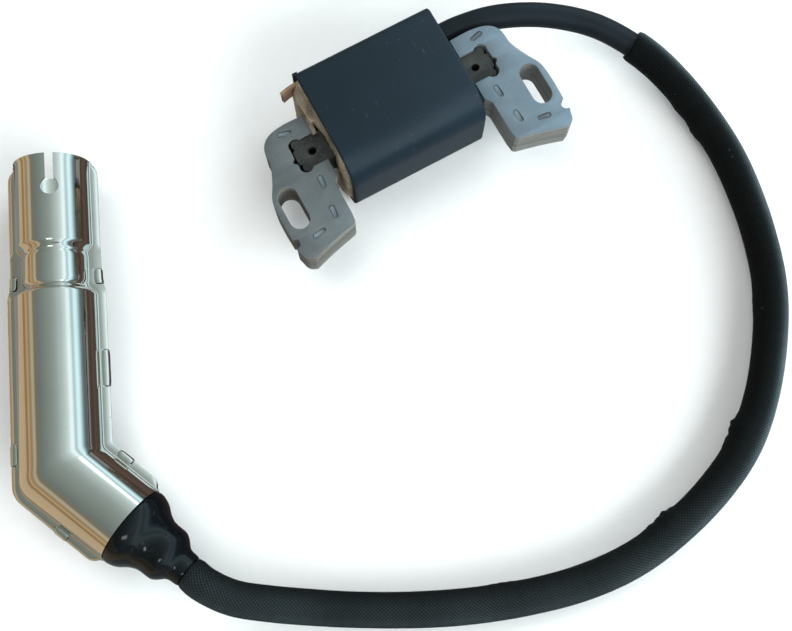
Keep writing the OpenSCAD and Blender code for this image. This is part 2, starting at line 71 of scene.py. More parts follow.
eye = Vector((-0.0622, -0.1103, 0.32465))
view = Vector((0.1068, 0.1953, -0.9749)).normalized()
right = Vector((0.8775, -0.4796, 0.0)).normalized()
over = right.cross(view).normalized()
lens = bpy.data.cameras.new("camera")
lens.lens, lens.sensor_width = 52.27, 36.0
lens.clip_start, lens.clip_end = 0.01, 20.0
camera = bpy.data.objects.new("camera", lens)
turn = Matrix((right, over, -view)).transposed().to_4x4()
camera.matrix_world = Matrix.Translation(eye) @ turn
bpy.context.scene.collection.objects.link(camera)
bpy.context.scene.camera = camera
bpy.context.scene.view_settings.view_transform = "Standard"


# ---------------------------------------------------------------- finishes


class Value:
    """A value or socket in a finish, so that sums and products read as sums."""

    def __init__(self, finish, socket):
        self.finish, self.socket = finish, socket

    def _math(self, operation, *values):
        return self.finish.node("Math", {"operation": operation}, dict(enumerate(values)))[0]

    def __add__(self, other):
        return self._math("ADD", self, other)

    def __sub__(self, other):
        return self._math("SUBTRACT", self, other)

    def __rsub__(self, other):
        return self._math("SUBTRACT", other, self)

    def __mul__(self, other):
        return self._math("MULTIPLY", self, other)

    def __truediv__(self, other):
        return self._math("DIVIDE", self, other)

    def __rtruediv__(self, other):
        return self._math("DIVIDE", other, self)

    def __pow__(self, other):
        return self._math("POWER", self, other)

    def __rpow__(self, other):
        return self._math("POWER", other, self)

    __radd__, __rmul__ = __add__, __mul__

    def clamp(self):
        return self._math("MINIMUM", self._math("MAXIMUM", self, 0.0), 1.0)

    def sin(self):
        return self._math("SINE", self)

    def above(self, edge, soft):
        """0 below the edge and 1 above it, with a soft step."""
        return ((self - edge) / soft + 0.5).clamp()


class Finish:
    """A material made from nodes."""

    def __init__(self, name):
        self.material = bpy.data.materials.new(name)
        self.material.use_nodes = True
        self.tree = self.material.node_tree
        self.shader = self.tree.nodes["Principled BSDF"]
        self.place = self.node("TexCoord", {}, {})["Object"]

    def node(self, kind, settings, inputs):
        """Adds a node: its settings, then the values or links of its sockets. Gives its outputs."""
        node = self.tree.nodes.new("ShaderNode" + kind)
        for key, value in settings.items():
            if key == "stops":
                ramp = node.color_ramp
                while len(ramp.elements) < len(value):
                    ramp.elements.new(0.5)
                for stop, (at, colour) in zip(ramp.elements, value):
                    stop.position, stop.color = at, colour
            else:
                setattr(node, key, value)
        for key, value in inputs.items():
            self.feed(node.inputs[key], value)
        outputs = {i: Value(self, s) for i, s in enumerate(node.outputs)}
        outputs.update({s.name: Value(self, s) for s in node.outputs if s.enabled})
        return outputs

    def feed(self, socket, value):
        if isinstance(value, Value):
            self.tree.links.new(value.socket, socket)
        else:
            socket.default_value = value

    def stretched(self, x, y, z, place=None):
        return self.node("Mapping", {}, {"Vector": place or self.place, "Scale": (x, y, z)})["Vector"]

    def noise(self, scale, detail=3.0, place=None, rough=0.55):
        inputs = {"Vector": place or self.place, "Scale": scale, "Detail": detail, "Roughness": rough}
        return self.node("TexNoise", {}, inputs)["Fac"]

    def cells(self, scale, place=None):
        inputs = {"Vector": place or self.place, "Scale": scale}
        return self.node("TexVoronoi", {}, inputs)["Distance"]

    def mix(self, factor, low, high):
        settings = {"data_type": "RGBA"}
        return self.node("Mix", settings, {0: factor, 6: low, 7: high})[2]

    def attribute(self, name):
        return self.node("Attribute", {"attribute_name": name}, {})["Fac"]

    def upward(self):
        normal = self.node("NewGeometry", {}, {})["Normal"]
        return self.node("SeparateXYZ", {}, {"Vector": normal})["Z"]

    def set(self, **inputs):
        for key, value in inputs.items():
            self.feed(self.shader.inputs[key.replace("_", " ")], value)

    def bump(self, height, depth, strength=1.0):
        inputs = {"Height": height, "Distance": depth, "Strength": strength}
        self.feed(self.shader.inputs["Normal"], self.node("Bump", {}, inputs)["Normal"])


def colour(red, green, blue):
    """A colour given as 0 to 255 on a screen."""
    parts = [c / 255 for c in (red, green, blue)]
    linear = [c / 12.92 if c <= 0.04045 else ((c + 0.055) / 1.055) ** 2.4 for c in parts]
    return (*linear, 1.0)


def case_finish():
    f = Finish("case_plastic")
    cloud = f.noise(45, 4)
    grain = f.noise(2600, 2)
    scuff = f.noise(900, 4, f.stretched(1, 0.12, 1)).above(0.69, 0.05)
    dust = f.cells(420).above(0.045, 0.03)
    base = f.mix(cloud, colour(9, 21, 30), colour(16, 33, 45))
    base = f.mix(scuff * 0.3, base, colour(80, 92, 100))
    f.set(Base_Color=f.mix(dust, colour(96, 104, 106), base), Roughness=cloud * 0.1 + 0.3)
    f.bump(grain + scuff * 0.5, 0.00003, 0.35)
    return f.material


def resin_finish():
    f = Finish("potting")
    cloud = f.noise(170, 5)
    speck = f.noise(1300, 3)
    base = f.mix(cloud.above(0.5, 0.4), colour(104, 92, 76), colour(176, 162, 140))
    f.set(Base_Color=f.mix(speck.above(0.66, 0.1), base, colour(204, 192, 170)))
    f.set(Roughness=0.72 - cloud * 0.2)
    f.bump(cloud + speck * 0.4, 0.0002, 0.7)
    return f.material


def leg_finish(name, face, shade):
    """Sheet steel: a smooth grey face, and cut edges in browns and greys, sheet by sheet."""
    f = Finish(name)
    up = f.upward()
    flat = (up * up).above(0.6, 0.3)
    cloud = f.noise(120, 4)
    grain = f.noise(2400, 3)
    layer = f.noise(2200, 0, f.stretched(0.01, 0.01, 1))
    rust = f.noise(240, 4)
    top = f.mix(cloud.above(0.5, 0.5), face, shade)
    top = f.mix(grain.above(0.62, 0.2) * 0.16, top, colour(168, 178, 184))
    edge = f.mix(layer.above(0.5, 0.3), colour(96, 96, 94), colour(152, 150, 142))
    edge = f.mix(rust.above(0.6, 0.2) * 0.4, edge, colour(122, 104, 84))
    f.set(Base_Color=f.mix(flat, edge, top), Metallic=flat * 0.3 + 0.4)
    f.set(Roughness=grain * 0.16 + 0.36)
    f.bump(grain + cloud, 0.00003, 0.5)
    return f.material


def bar_finish():
    f = Finish("bar_steel")
    cloud = f.noise(260, 4)
    speck = f.noise(1800, 3)
    base = f.mix(cloud.above(0.5, 0.4), colour(40, 42, 42), colour(66, 68, 66))
    f.set(Base_Color=f.mix(speck.above(0.66, 0.08) * 0.7, base, colour(104, 102, 96)))
    f.set(Metallic=0.3, Roughness=0.62 - cloud * 0.15)
    f.bump(cloud + speck * 0.5, 0.00006, 0.7)
    return f.material


def shield_finish():
    """Bright plating with fine polishing lines along the leg and a few handling marks."""
    f = Finish("shield_metal")
    turned = f.node("Mapping", {}, {"Vector": f.place, "Rotation": (0, 0, math.pi / 2 - SHIELD_DIR)})
    lines = f.noise(1500, 4, f.stretched(1, 0.03, 1, turned["Vector"]))
    cloud = f.noise(75, 4)
    mark = f.noise(420, 4).above(0.73, 0.04)
    base = f.mix(cloud, colour(214, 212, 206), colour(232, 231, 226))
    f.set(Base_Color=f.mix(mark * 0.5, base, colour(176, 168, 154)), Metallic=1.0)
    rolled = f.attribute("seam")
    f.set(Roughness=lines * 0.07 + cloud * 0.03 + mark * 0.1 + rolled * 0.08 + 0.01)
    f.bump(lines * 0.25 + cloud * 2.0, 0.00003, 0.3)
    return f.material


def lead_finish():
    f = Finish("lead_rubber")
    cloud = f.noise(90, 3)
    grain = f.noise(1700, 3)
    f.set(Base_Color=f.mix(cloud, colour(7, 13, 17), colour(16, 25, 33)))
    f.set(Roughness=cloud * 0.16 + 0.36, Specular_IOR_Level=0.32)
    f.bump(grain, 0.00004, 0.5)
    return f.material


def sleeve_finish():
    """Braid: painted shade between the strands, a faint painted shine on them, a painted sheen band along the
    outside, and a stray pale fibre.
    """
    f = Finish("sleeve_fabric")
    strand = f.attribute("strand")
    family = f.attribute("family")
    fibre = f.noise(3800, 3)
    cloud = f.noise(60, 3)
    # Painted shade between the strands and a painted shine on their crests.
    shine = (strand ** 3.0) * (fibre * 0.7 + 0.5)
    base = f.mix(shine.clamp(), colour(1, 1, 1), colour(12, 15, 16))
    base = f.mix(family * strand * 0.16, base, colour(32, 41, 44))
    # Painted sheen: the strands lighter in a band along the outside of the loop and faintly on top.
    base = f.mix((strand ** 2.0) * f.attribute("worn") * 0.42, base, colour(158, 182, 190))
    fleck = f.cells(260).above(0.035, 0.02)
    f.set(Base_Color=f.mix(fleck, colour(110, 118, 122), base))
    f.set(Roughness=0.54 - shine * 0.24 + cloud * 0.1, Specular_IOR_Level=0.14, Sheen_Weight=0.1,
          Sheen_Roughness=0.3, Sheen_Tint=(0.75, 0.92, 1.0, 1.0))
    f.bump(fibre * 0.5 + strand, 0.00016, 0.9)
    return f.material


def boot_finish():
    f = Finish("boot_rubber")
    cloud = f.noise(110, 4)
    smear = f.noise(600, 4).above(0.66, 0.1)
    base = f.mix(cloud, colour(2, 5, 7), colour(5, 10, 14))
    f.set(Base_Color=f.mix(smear * 0.12, base, colour(70, 78, 84)))
    f.set(Roughness=smear * 0.14 + cloud * 0.06 + 0.09, Specular_IOR_Level=0.34)
    f.bump(cloud, 0.00005, 0.2)
    return f.material


def metal_finish(name, low, high, rough, metallic=1.0, size=600.0):
    f = Finish(name)
    cloud = f.noise(size, 4)
    grain = f.noise(size * 5, 2)
    f.set(Base_Color=f.mix(cloud.above(0.5, 0.5), low, high), Metallic=metallic)
    f.set(Roughness=cloud * 0.2 + rough)
    f.bump(grain, 0.00002, 0.5)
    return f.material


def plastic_finish(name, low, high, rough):
    return metal_finish(name, low, high, rough, 0.0)


def winding_finish():
    """Enamelled wire, turn beside turn round the crossbar, with painted shade between the turns and a painted
    highlight on their crowns.
    """
    f = Finish("copper_wire")
    along = f.node("SeparateXYZ", {}, {"Vector": f.place})["X"]
    turns = (along * 24000).sin() * 0.5 + 0.5
    cloud = f.noise(300, 3)
    base = f.mix(turns, colour(108, 52, 26), colour(196, 112, 66))
    f.set(Base_Color=f.mix(cloud * 0.4, base, colour(150, 84, 50)), Metallic=0.8, Roughness=0.5 - turns * 0.2)
    f.bump(turns, 0.0001, 0.8)
    return f.material


def bench_reflection_finish():
    """What the bright metal mirrors from the bench: a glow seen only in reflections, as painted reflection.
    """
    f = Finish("bench_wood_reflection")
    place = f.node("Mapping", {}, {"Vector": f.place, "Rotation": (0, 0, math.pi / 2 - SHIELD_DIR)})["Vector"]
    grain = f.noise(38, 4, f.stretched(1, 0.04, 1, place))
    base = f.mix(grain.above(0.5, 0.3), colour(54, 38, 31), colour(88, 74, 66))
    f.set(Base_Color=(0.0, 0.0, 0.0, 1.0), Emission_Color=base, Emission_Strength=1.3, Roughness=1.0)
    return f.material


def glow(name, strength, stops=None):
    """An even or striped glow for a card; the stripes run across the card's own height."""
    f = Finish(name)
    f.set(Base_Color=(0.0, 0.0, 0.0, 1.0), Roughness=1.0, Emission_Strength=strength)
    if stops:
        run = f.node("TexCoord", {}, {})["UV"]
        across = f.node("SeparateXYZ", {}, {"Vector": run})["X"]
        ramp = f.node("ValToRGB", {"stops": stops}, {"Fac": across})["Color"]
        f.set(Emission_Color=ramp)
    else:
        f.set(Emission_Color=(1.0, 1.0, 1.0, 1.0))
    return f.material


# ---------------------------------------------------------------- shapes


def mesh_of(name, verts, faces):
    """A mesh from points in millimetres, with its faces turned outwards."""
    mesh = bpy.data.meshes.new(name)
    points = np.asarray(verts, dtype=float).reshape(-1, 3)
    mesh.from_pydata((points * MM).tolist(), [], faces)
    work = bmesh.new()
    work.from_mesh(mesh)
    bmesh.ops.recalc_face_normals(work, faces=work.faces)
    work.to_mesh(mesh)
    work.free()
    return mesh


def loose(name, verts, faces):
    """An object that rides on nothing yet."""
    thing = bpy.data.objects.new(name, mesh_of(name, verts, faces))
    bpy.context.scene.collection.objects.link(thing)
    return thing


def piece(name, verts, faces, body, slot, material, stands_for=(), crease=38):
    """A finished piece from points in millimetres, which rides on a body."""
    return dress(loose(name, verts, faces), body, material, stands_for, crease)


def dress(thing, body, material, stands_for=(), crease=38):
    """Gives a piece its finish, its sharp edges, its body and the nodes that it stands for."""
    if thing.name not in bpy.context.scene.collection.objects:
        bpy.context.scene.collection.objects.link(thing)
    thing.data.materials.clear()
    thing.data.materials.append(material)
    thing.data.shade_smooth()
    thing.data.set_sharp_from_angle(angle=math.radians(crease))
    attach(thing, body)
    if stands_for:
        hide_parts(*stands_for)
    return thing


def loft(rings, closed_run=False, capped=True):
    """Faces between rings of points, as points and faces."""
    rings = np.asarray(rings, dtype=float)
    count, around = rings.shape[:2]
    faces = []
    for i in range(count if closed_run else count - 1):
        j = (i + 1) % count
        for k in range(around):
            n = (k + 1) % around
            faces.append((i * around + k, i * around + n, j * around + n, j * around + k))
    if capped and not closed_run:
        faces.append(tuple(range(around)))
        faces.append(tuple(range((count - 1) * around, count * around))[::-1])
    return rings.reshape(-1, 3), faces


def spline(points, before, after, steps):
    """Points on a smooth curve through points, led in and out by one more point at each end."""
    p = np.vstack([before, points, after])
    line = []
    for a, b, c, d in zip(p, p[1:], p[2:], p[3:]):
        for t in np.linspace(0, 1, steps, endpoint=False):
            line.append(0.5 * (2 * b + (c - a) * t + (2 * a - 5 * b + 4 * c - d) * t ** 2
                               + (3 * b - a - 3 * c + d) * t ** 3))
    return np.array(line + [p[-2]])


def smooth_line(points, step, fine=24):
    """A smooth curve through points, as points a step apart."""
    p = np.array(points, dtype=float)
    line = spline(p, 2 * p[0] - p[1], 2 * p[-1] - p[-2], fine)
    run = np.concatenate([[0], np.cumsum(np.linalg.norm(np.diff(line, axis=0), axis=1))])
    at = np.linspace(0, run[-1], max(2, round(run[-1] / step)) + 1)
    return np.column_stack([np.interp(at, run, line[:, k]) for k in range(p.shape[1])])


def tube_rings(line, radius, around):
    """Rings of points round a line, from its side over its top; a radius for each point if given so."""
    along = np.gradient(line, axis=0)
    along /= np.linalg.norm(along, axis=1)[:, None]
    side = np.cross(UP, along)
    side /= np.linalg.norm(side, axis=1)[:, None]
    top = np.cross(along, side)
    angle = np.linspace(0, 2 * math.pi, around, endpoint=False)
    radius = np.broadcast_to(radius, (len(line), around))[..., None]
    turned = np.cos(angle)[None, :, None] * side[:, None] + np.sin(angle)[None, :, None] * top[:, None]
    return line[:, None] + radius * turned


def cut(thing, cutters):
    """Takes the cutters out of a piece, and throws them away."""
    for cutter in cutters:
        step = thing.modifiers.new("cut", "BOOLEAN")
        step.operation, step.solver, step.object = "DIFFERENCE", "EXACT", cutter
    settle(thing)
    for cutter in cutters:
        mesh = cutter.data
        bpy.data.objects.remove(cutter)
        bpy.data.meshes.remove(mesh)


def settle(thing):
    """Turns a piece's modifiers into its mesh."""
    bpy.context.view_layer.update()
    graph = bpy.context.evaluated_depsgraph_get()
    mesh = bpy.data.meshes.new_from_object(thing.evaluated_get(graph))
    thing.modifiers.clear()
    thing.data = mesh


def block(low, high):
    """A box's points and faces."""
    xs = [(x, y, z) for z in (low[2], high[2]) for y in (low[1], high[1]) for x in (low[0], high[0])]
    faces = [(0, 2, 3, 1), (4, 5, 7, 6), (0, 1, 5, 4), (2, 6, 7, 3), (0, 4, 6, 2), (1, 3, 7, 5)]
    return xs, faces


def plate(name, outlines, low, high, edge, steps=1):
    """A flat sheet with holes: closed outlines in x and y, from low to high, with rounded edges."""
    shape = bpy.data.curves.new(name, "CURVE")
    shape.dimensions, shape.fill_mode = "2D", "BOTH"
    shape.extrude = (high - low) / 2 * MM - edge * MM
    shape.bevel_depth, shape.bevel_resolution, shape.offset = edge * MM, steps, -edge * MM
    for outline in outlines:
        border = shape.splines.new("POLY")
        border.points.add(len(outline) - 1)
        for point, (x, y) in zip(border.points, outline):
            point.co = (x * MM, y * MM, 0, 1)
        border.use_cyclic_u = True
    holder = bpy.data.objects.new(name, shape)
    bpy.context.scene.collection.objects.link(holder)
    bpy.context.view_layer.update()
    graph = bpy.context.evaluated_depsgraph_get()
    mesh = bpy.data.meshes.new_from_object(holder.evaluated_get(graph))
    bpy.data.objects.remove(holder)
    mesh.transform(Matrix.Translation((0, 0, (low + high) / 2 * MM)))
    return mesh


def joined(name, meshes):
    """One object from several meshes."""
    work = bmesh.new()
    for mesh in meshes:
        work.from_mesh(mesh)
        bpy.data.meshes.remove(mesh)
    whole = bpy.data.meshes.new(name)
    bmesh.ops.recalc_face_normals(work, faces=work.faces)
    work.to_mesh(whole)
    work.free()
    return bpy.data.objects.new(name, whole)


def arc(cx, cy, r, start, end, steps):
    """Points on an arc, with angles in degrees."""
    angles = [math.radians(start + (end - start) * k / steps) for k in range(steps + 1)]
    return [(cx + r * math.cos(a), cy + r * math.sin(a)) for a in angles]


def mark(mesh, name, values):
    """Keeps a number at each point, for a finish to read."""
    layer = mesh.attributes.new(name, "FLOAT", "POINT")
    layer.data.foreach_set("value", np.asarray(values, dtype=np.float32).ravel())


def on_core(thing):
    """Moves a piece from the core's own frame, with its slots' middle at y 0, to the object's."""
    thing.data.transform(Matrix.Translation((0, -MID_Y * MM, CORE_Z * MM)))
    return thing


# ---------------------------------------------------------------- lead and sleeve


def on_short(s):
    """The place s along the shield's short leg from its elbow."""
    a = SHIELD_DIR - math.pi + BEND
    return ELBOW + s * np.array([math.cos(a), math.sin(a), 0])


BOOT_END = SHORT_L + BOOT_TIP
LEAD_END, LEAD_IN = 9.3, 1.2
exit_y = LEAD_Y - MID_Y
ROUTE_STEP = 1.5
route = [
    (CASE_L / 2, exit_y, CORE_Z), (30, 19.3, 13.5), (40, 17.6, 13.2), (50, 13.8, 12.4),
    (59, 8.6, 11.2), (67, 2, 9.6), (73, -6, 8), (77.5, -15, 6.6), (80.4, -26, 5.6),
    (81.8, -38, 5.1), (81.7, -50, 5), (80, -62, 5), (76.8, -75, 5), (71.5, -89, 5),
    (63.5, -102, 5), (53, -114.5, 5), (41, -124.5, 5), (27.5, -131, 5), (12.5, -135.2, 5),
    (-3, -137, 5), (-18.5, -135.6, 5), (-34, -131.6, 5), (-49, -126, 5), (-63, -119.4, 5),
    (-76, -112.2, 5.2), (-86, -106, 6.2), (-95, -100, 8), (-102.5, -94.2, 10),
    tuple(on_short(BOOT_END + 6)), tuple(on_short(BOOT_END + 0.3)),
]
in_case = [(CASE_L / 2 - LEAD_IN, exit_y, CORE_Z)]
in_boot = [on_short(s) for s in np.linspace(BOOT_END - LEAD_IN, LEAD_END, 24)]
lead_line = np.vstack([in_case, smooth_line(route, ROUTE_STEP), in_boot])
hv_lead = piece("hv_lead", *loft(tube_rings(lead_line, LEAD_R, 40)), "root", "lead_rubber",
                lead_finish(), ("hv_lead_jacket",), 60)

# The sleeve starts a few steps after one of the route's points
STRANDS, STRAND_PITCH, AROUND, STEP = 30, 1.05, 150, 0.32
SLEEVE_FROM, STEPS_AFTER, SLEEVE_BORE = 6, 6, LEAD_R + 0.15
PUCKERS = [  # distance along the sleeve, spread and height
    (24, 3.0, 0.45), (33, 3.2, 0.75), (90, 4.0, 0.2), (128.5, 2.8, 1.15),
    (134, 2.2, 0.5), (163.5, 3.0, 0.95), (169, 2.0, 0.35), (215, 4.0, 0.25),
]


def braid(run, around):
    """How high the strands stand, and which of the two ways round the upper one runs."""
    turns, slide = STRANDS * around / (2 * math.pi), run / STRAND_PITCH
    first, second = turns + slide, turns - slide
    over_under = np.where((np.round(first) + np.round(second)) % 2 == 0, 1.0, -1.0)
    ridge_1 = np.cos(math.pi * (first - np.round(first)))
    ridge_2 = np.cos(math.pi * (second - np.round(second)))
    lift_1 = ridge_1 * (0.62 + 0.38 * over_under * ridge_2)
    lift_2 = ridge_2 * (0.62 - 0.38 * over_under * ridge_1)
    return np.maximum(lift_1, lift_2), (lift_1 > lift_2).astype(float)


def puckers(run, around):
    """How far the cloth stands out in folds on the inside of the bends."""
    inside = np.clip(-np.cos(around), 0, 1) ** 2.2
    creased = 1 + 0.22 * np.sin(run * 2.3) * np.cos(around * 3)
    folds = sum(high * np.exp(-((run - middle) / spread) ** 2) for middle, spread, high in PUCKERS)
    return folds * inside * creased


def painted_sheen_band(run, around):
    """Painted sheen: a narrow band outside on the first half, and a wide faint one on top after it."""
    later = 1 / (1 + np.exp(-(run - 150.0) / 16.0))
    patchy = 0.8 + 0.2 * np.sin(run / 13.0) * np.sin(run / 5.3)
    band = np.exp(-((around - 0.62) / 0.42) ** 2)
    on_top = 0.2 * np.exp(-((around - 1.45) / 0.95) ** 2)
    return patchy * (band * (1 - 0.8 * later) + on_top * later)


fine = smooth_line(route, STEP)
start = int(np.argmin(np.linalg.norm(fine - np.array(route[SLEEVE_FROM]), axis=1)))
fine = fine[start + STEPS_AFTER:]
run = (np.arange(len(fine)) * STEP)[:, None]
around = np.linspace(0, 2 * math.pi, AROUND, endpoint=False)[None, :]
strand, family = braid(run, around)
slack = 0.08 * np.sin(run / 11.0) * np.cos(around * 2 + run / 19.0)
near_end = 1 - np.minimum(1.0, np.minimum(run, run[-1] - run) / 1.2)
radius = SLEEVE_R - 0.36 + 0.28 * strand + slack - 0.35 * near_end + puckers(run, around)
lining = tube_rings(fine[::8], SLEEVE_BORE, AROUND)[::-1]
rings = np.concatenate([tube_rings(fine, radius, AROUND), lining])
braided_sleeve = piece("sleeve", *loft(rings, closed_run=True), "root", "sleeve_fabric",
                       sleeve_finish(), ("braided_sleeve",), 180)
# The third mark is the painted sheen band.
for name, values in (("strand", strand), ("family", family), ("worn", painted_sheen_band(run, around))):
    mark(braided_sleeve.data, name, np.concatenate([values, np.zeros((len(lining), AROUND))]))


# ---------------------------------------------------------------- shield and boot


TURN_IN, TURN_OUT, ZONE = 2.4, 6.5, 9.0
LONG_RUN = SHIELD_L - ZONE
SHIELD_RUN = LONG_RUN + ZONE + SHORT_L


def shield_place(q, out=0.0):
    """The place q along the shield from its mouth and out to its left, about the elbow's corner."""
    if q <= LONG_RUN:
        return np.array([-out, SHIELD_L - q])
    second = np.array([math.cos(math.pi + BEND), math.sin(math.pi + BEND)])
    forward = np.array([-second[1], second[0]])
    if q >= LONG_RUN + 2 * ZONE:
        return second * out + forward * (q - LONG_RUN - ZONE)
    half = BEND / 2
    turn_r = TURN_IN + (TURN_OUT - TURN_IN) * (0.5 + 0.5 * out / MAIN_R)
    lead_in = ZONE + out * math.tan(half) - turn_r * math.tan(half)
    gone = (q - LONG_RUN) / (2 * ZONE) * (2 * lead_in + turn_r * BEND)
    if gone <= lead_in:
        return np.array([-out, ZONE - gone])
    if gone >= lead_in + turn_r * BEND:
        return second * out + forward * (ZONE + gone - 2 * lead_in - turn_r * BEND)
    a = math.pi + (gone - lead_in) / turn_r
    return np.array([turn_r - out, ZONE - lead_in]) + turn_r * np.array([math.cos(a), math.sin(a)])


def long_q(distance):
    """How far along the shield a place on the long leg is."""
    return SHIELD_L - distance


def short_q(distance):
    return LONG_RUN + ZONE + distance


def ease(value, low, high):
    t = min(1.0, max(0.0, (value - low) / (high - low)))
    return t * t * (3 - 2 * t)


def shell_radius(q):
    """Outer radius of the shield, with the rolled steps at both ends of its neck."""
    d = SHIELD_L - q
    if d > 66:
        return MOUTH_R + 0.22 * math.exp(-q / 0.5)
    r = MAIN_R + (NECK_R - MAIN_R) * ease(d, 48.0, 50.8) + (MOUTH_R - NECK_R) * ease(d, 60.6, 63.0)
    r -= 0.3 * math.exp(-((d - 51.5) / 0.7) ** 2)
    r -= 0.25 * math.exp(-((d - 60.4) / 0.7) ** 2)
    return r


def at_elbow(points):
    """Turns points about the elbow, with y along the long leg, into the object's frame."""
    points = np.asarray(points, dtype=float)
    a = SHIELD_DIR - math.pi / 2
    c, s = math.cos(a), math.sin(a)
    spin = np.array([[c, -s, 0], [s, c, 0], [0, 0, 1]])
    return points @ spin.T + ELBOW


def shell_rings(stations, outer_r, start, end, steps):
    """Rings of points round the shield's line, from one angle to another, in degrees."""
    angles = np.radians(np.linspace(start, end, steps + 1))
    rings = []
    for q in stations:
        r = outer_r(q)
        rings.append([(*shield_place(q, -r * math.cos(a)), r * math.sin(a)) for a in angles])
    return np.array(rings)


def flange_width(q, side):
    """Distance from the shield's line to the seam flange's edge."""
    d = SHIELD_L - q
    w = FLANGE_MAIN + (FLANGE_MOUTH - FLANGE_MAIN) * ease(d, 48.5, 53.0)
    for gap in (q, SHIELD_RUN - q):
        if gap < FLANGE_ROUND:
            w -= FLANGE_ROUND - math.sqrt(max(0.0, FLANGE_ROUND ** 2 - (FLANGE_ROUND - gap) ** 2))
    return w


TABS = [(-1, long_q(53.2), 3.6), (1, long_q(53.4), 4.0), (1, long_q(27), 10.0),
        (-1, LONG_RUN + 2.4, 3.4), (-1, short_q(11), 4.0), (1, short_q(11.4), 4.4)]
stations = sorted(set(
    [round(x, 3) for x in np.linspace(0, SHIELD_RUN, 190)]
    + [round(x, 3) for x in np.linspace(0, 1.6, 9)] + [round(x, 3) for x in np.linspace(0, FLANGE_ROUND, 9)]
    + [round(long_q(x), 3) for x in np.linspace(46.5, 52.5, 25)]
    + [round(long_q(x), 3) for x in np.linspace(59.5, 64, 19)]
    + [round(LONG_RUN + x, 3) for x in np.linspace(0, 2 * ZONE, 61)]
    + [round(SHIELD_RUN - x, 3) for x in np.linspace(0, FLANGE_ROUND, 9)]
    + [round(m + e * (length / 2 + g), 3) for _, m, length in TABS for e in (-1, 1) for g in (0.3, 0.34)]
))


def seam_rings(side, notched):
    """The flange's section at each station: a rolled root, a domed top and a thin edge."""
    rings = []
    roll = 0.5
    for q in stations:
        width = flange_width(q, side)
        if notched and any(s == side and abs(q - m) < length / 2 + 0.32 for s, m, length in TABS):
            width -= 1.0
        r = shell_radius(q)
        section = [(r - 0.38, FLANGE_T + roll), (r - 0.08, FLANGE_T + roll)]
        section += [(r - 0.08 + roll - roll * math.cos(a), FLANGE_T + roll - roll * math.sin(a))
                    for a in np.radians([20, 45, 70, 90])]
        begin = section[-1][0]
        for t in (0.25, 0.5, 0.75, 0.9, 1.0):
            section.append((begin + (width - begin) * t, FLANGE_T * (1 - 0.86 * t ** 1.7)))
        section += [(width, 0.02), (r - 0.38, 0.02)]
        rings.append([(*shield_place(q, -side * x), z) for x, z in section])
    return np.array(rings)


def on_shield(shape, up):
    """A shape's points and faces, above or below the seam and in the object's frame."""
    verts, faces = shape
    return at_elbow(np.array(verts, dtype=float) * (1, 1, up)), faces


def half_shell(name, up, notched, cutters=()):
    """One half of the shield: a half tube and its two seam flanges."""
    outer_arc = shell_rings(stations, shell_radius, 0, 180, 56)
    inner_arc = shell_rings(stations, lambda q: shell_radius(q) - SHEET, 180, 0, 56)
    tube = loose(name + "_tube", *on_shield(loft(np.concatenate([outer_arc, inner_arc], axis=1)), up))
    if cutters:
        cut(tube, cutters)
    seams = [mesh_of(name + "_seam", *on_shield(loft(seam_rings(side, notched)), up)) for side in (-1, 1)]
    tube_mesh, on_tube = tube.data, len(tube.data.vertices)
    bpy.data.objects.remove(tube)
    whole = joined(name, [tube_mesh, *seams])
    mark(whole.data, "seam", np.arange(len(whole.data.vertices)) >= on_tube)
    return whole


plating = shield_finish()
KEY_W, KEY_R, KEY_BACK, KEY_ROLL = 2.3, 2.5, 9.6, math.radians(10)


def rolled(points):
    points = np.asarray(points, dtype=float).reshape(-1, 3)
    c, s = math.cos(KEY_ROLL), math.sin(KEY_ROLL)
    return points @ np.array([[c, 0, s], [0, 1, 0], [-s, 0, c]]).T


key_low, key_faces = block((-KEY_W / 2, SHIELD_L - KEY_BACK, 5), (KEY_W / 2, SHIELD_L + 2, 16))
round_key = [[(KEY_R * math.cos(a), SHIELD_L - KEY_BACK + KEY_R * math.sin(a), z)
              for a in np.linspace(0, 2 * math.pi, 48, endpoint=False)] for z in (5, 16)]
hole_points, hole_faces = loft(round_key)
upper = half_shell("shield_upper", 1, True, [
    loose("key_slot", at_elbow(rolled(key_low)), key_faces),
    loose("key_hole", at_elbow(rolled(hole_points)), hole_faces)])
dress(upper, "boot", plating, ("shield_upper_half",), 40)
lower = half_shell("shield_lower", -1, False)
dress(lower, "boot", plating, ("shield_lower_half",), 40)

for number, (side, middle, length) in enumerate(TABS):
    rings = []
    spread = np.linspace(-length / 2, length / 2, 9)
    for offset in spread:
        q = middle + offset
        w = flange_width(q, side)
        soft = 0.12 * (abs(offset) > length / 2 - 0.01)
        path = [(w - 1.75 + soft, 0.72), (w - 1.8 + soft, 1.05 - soft), (w - 1.6, 1.12 - soft),
                (w - 0.9, 1.02 - soft), (w - 0.2, 0.8 - soft), (w + 0.12 - soft, 0.5 - soft),
                (w + 0.2 - soft, 0.1), (w + 0.2 - soft, -0.78), (w - 0.15, -0.78), (w - 0.15, 0.2),
                (w - 0.9, 0.6)]
        rings.append([(*shield_place(q, -side * x), z) for x, z in path])
    verts, faces = loft(rings)
    piece(f"shield_tab_{number + 1}", at_elbow(verts), faces, "boot", "shield_metal", plating,
          (), 50)

